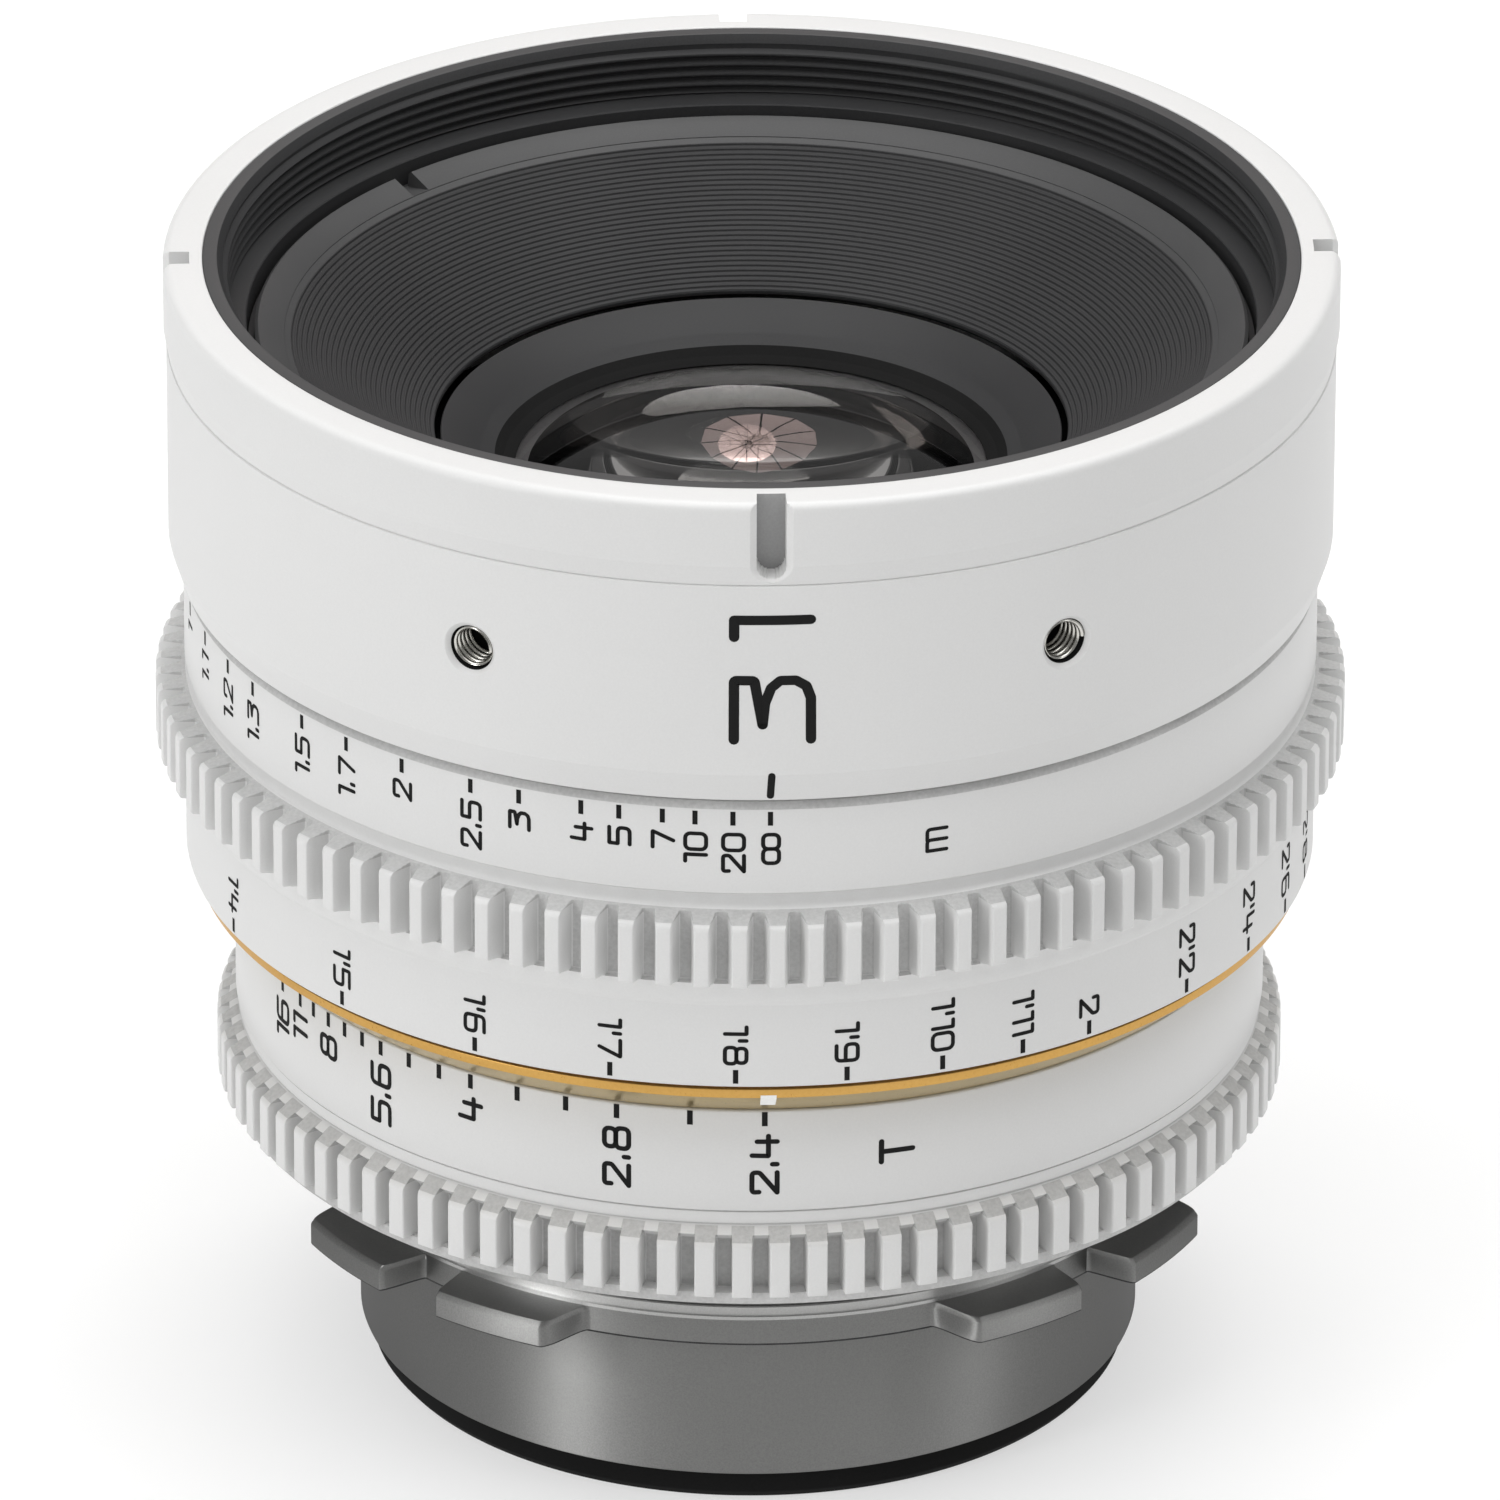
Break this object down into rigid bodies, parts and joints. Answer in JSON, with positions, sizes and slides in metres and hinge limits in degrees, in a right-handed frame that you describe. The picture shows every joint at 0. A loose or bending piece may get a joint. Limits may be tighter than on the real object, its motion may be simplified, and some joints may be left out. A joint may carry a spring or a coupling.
{
  "type": "cinema prime lens",
  "caption": "Cinema prime lens: white barrel, geared focus and iris rings with scales, gold index ring, filter thread, ribbed front baffle, bladed iris and steel lug mount.",
  "frame": {"origin": "optical axis at the flange seat of the mount", "axes": "+Z along the optical axis towards the front of the lens, -Y through the index line"},
  "size_m": [0.0816, 0.0816, 0.0821],
  "materials": {
    "white_paint": "satin",
    "black_anodised": "matte black anodised",
    "gold_anodised": "gold anodised, satin",
    "index_white": "matte",
    "mount_steel": "satin",
    "insert_steel": "bright",
    "screw_steel": "satin",
    "cam_brass": "machined",
    "optical_glass": "coated",
    "blade_black": "blackened"
  },
  "bodies": {
    "barrel": {"front_barrel": "white_paint", "filter_ring": "black_anodised", "ribbed_baffle": "black_anodised", "thread_inserts": "insert_steel", "front_barrel_screws": "screw_steel", "main_barrel": "black_anodised", "guide_keys": "screw_steel", "index_ring": "gold_anodised", "index_marks": "index_white", "focus_stop_pin": "screw_steel", "iris_retainer": "black_anodised", "mount_shim": "mount_steel", "mount_flange": "mount_steel", "mount_screws": "screw_steel", "rear_baffle": "black_anodised"},
    "focus_ring": {"focus_ring": "white_paint", "focus_cam_sleeve": "cam_brass", "cam_sleeve_screws": "screw_steel"},
    "iris_ring": {"iris_ring": "white_paint", "iris_drive_arm": "screw_steel"},
    "focus_block": {"focus_carrier": "black_anodised", "cam_follower": "screw_steel", "front_cell": "black_anodised", "front_retaining_ring": "black_anodised", "front_element": "optical_glass", "element_2": "optical_glass", "element_3": "optical_glass", "element_4": "optical_glass", "front_spacer": "black_anodised", "front_group_retainer": "black_anodised", "iris_housing": "black_anodised", "iris_cover": "black_anodised", "rear_cell": "black_anodised", "rear_cell_lock_ring": "black_anodised", "element_5": "optical_glass", "element_6": "optical_glass", "element_7": "optical_glass", "element_8": "optical_glass", "rear_element": "optical_glass", "rear_spacer_a": "black_anodised", "rear_spacer_b": "black_anodised", "rear_retaining_ring": "black_anodised"},
    "iris_cam": {"iris_cam_ring": "cam_brass"},
    "iris_blade_1": {"iris_blade_1": "blade_black"},
    "iris_blade_2": {"iris_blade_2": "blade_black"},
    "iris_blade_3": {"iris_blade_3": "blade_black"},
    "iris_blade_4": {"iris_blade_4": "blade_black"},
    "iris_blade_5": {"iris_blade_5": "blade_black"},
    "iris_blade_6": {"iris_blade_6": "blade_black"},
    "iris_blade_7": {"iris_blade_7": "blade_black"},
    "iris_blade_8": {"iris_blade_8": "blade_black"},
    "iris_blade_9": {"iris_blade_9": "blade_black"}
  },
  "joints": [
    {"name": "focus_turn", "type": "hinge", "parent": "barrel", "child": "focus_ring", "pos_m": [0, 0, 0.0347], "axis": [0, 0, 1], "range_deg": [0, 265.7]},
    {"name": "iris_turn", "type": "hinge", "parent": "barrel", "child": "iris_ring", "pos_m": [0, 0, 0.0136], "axis": [0, 0, 1], "range_deg": [0, 69.5]},
    {"name": "focus_travel", "type": "slide", "parent": "barrel", "child": "focus_block", "axis": [0, 0, 1], "range_m": [0, 0.0029]},
    {"name": "iris_cam_turn", "type": "hinge", "parent": "focus_block", "child": "iris_cam", "pos_m": [0, 0, 0.0294], "axis": [0, 0, 1], "range_deg": [0, 69.6]},
    {"name": "iris_blade_1_swing", "type": "hinge", "parent": "focus_block", "child": "iris_blade_1", "pos_m": [0.0193, 0, 0.0258], "axis": [0, 0, 1], "range_deg": [0, 33.8]},
    {"name": "iris_blade_2_swing", "type": "hinge", "parent": "focus_block", "child": "iris_blade_2", "pos_m": [0.01478, 0.01241, 0.0258], "axis": [0, 0, 1], "range_deg": [0, 33.8]},
    {"name": "iris_blade_3_swing", "type": "hinge", "parent": "focus_block", "child": "iris_blade_3", "pos_m": [0.00335, 0.01901, 0.0258], "axis": [0, 0, 1], "range_deg": [0, 33.8]},
    {"name": "iris_blade_4_swing", "type": "hinge", "parent": "focus_block", "child": "iris_blade_4", "pos_m": [-0.00965, 0.01671, 0.0258], "axis": [0, 0, 1], "range_deg": [0, 33.8]},
    {"name": "iris_blade_5_swing", "type": "hinge", "parent": "focus_block", "child": "iris_blade_5", "pos_m": [-0.01814, 0.0066, 0.0258], "axis": [0, 0, 1], "range_deg": [0, 33.8]},
    {"name": "iris_blade_6_swing", "type": "hinge", "parent": "focus_block", "child": "iris_blade_6", "pos_m": [-0.01814, -0.0066, 0.0258], "axis": [0, 0, 1], "range_deg": [0, 33.8]},
    {"name": "iris_blade_7_swing", "type": "hinge", "parent": "focus_block", "child": "iris_blade_7", "pos_m": [-0.00965, -0.01671, 0.0258], "axis": [0, 0, 1], "range_deg": [0, 33.8]},
    {"name": "iris_blade_8_swing", "type": "hinge", "parent": "focus_block", "child": "iris_blade_8", "pos_m": [0.00335, -0.01901, 0.0258], "axis": [0, 0, 1], "range_deg": [0, 33.8]},
    {"name": "iris_blade_9_swing", "type": "hinge", "parent": "focus_block", "child": "iris_blade_9", "pos_m": [0.01478, -0.01241, 0.0258], "axis": [0, 0, 1], "range_deg": [0, 33.8]}
  ],
  "couplings": [
    {"joint": "focus_travel", "follows": "focus_turn", "m_per_rad": 0.000625},
    {"joint": "iris_cam_turn", "follows": "iris_turn", "ratio": 1},
    {"joint": "iris_blade_1_swing", "follows": "iris_turn", "ratio": 0.48489},
    {"joint": "iris_blade_2_swing", "follows": "iris_turn", "ratio": 0.48489},
    {"joint": "iris_blade_3_swing", "follows": "iris_turn", "ratio": 0.48489},
    {"joint": "iris_blade_4_swing", "follows": "iris_turn", "ratio": 0.48489},
    {"joint": "iris_blade_5_swing", "follows": "iris_turn", "ratio": 0.48489},
    {"joint": "iris_blade_6_swing", "follows": "iris_turn", "ratio": 0.48489},
    {"joint": "iris_blade_7_swing", "follows": "iris_turn", "ratio": 0.48489},
    {"joint": "iris_blade_8_swing", "follows": "iris_turn", "ratio": 0.48489},
    {"joint": "iris_blade_9_swing", "follows": "iris_turn", "ratio": 0.48489}
  ]
}
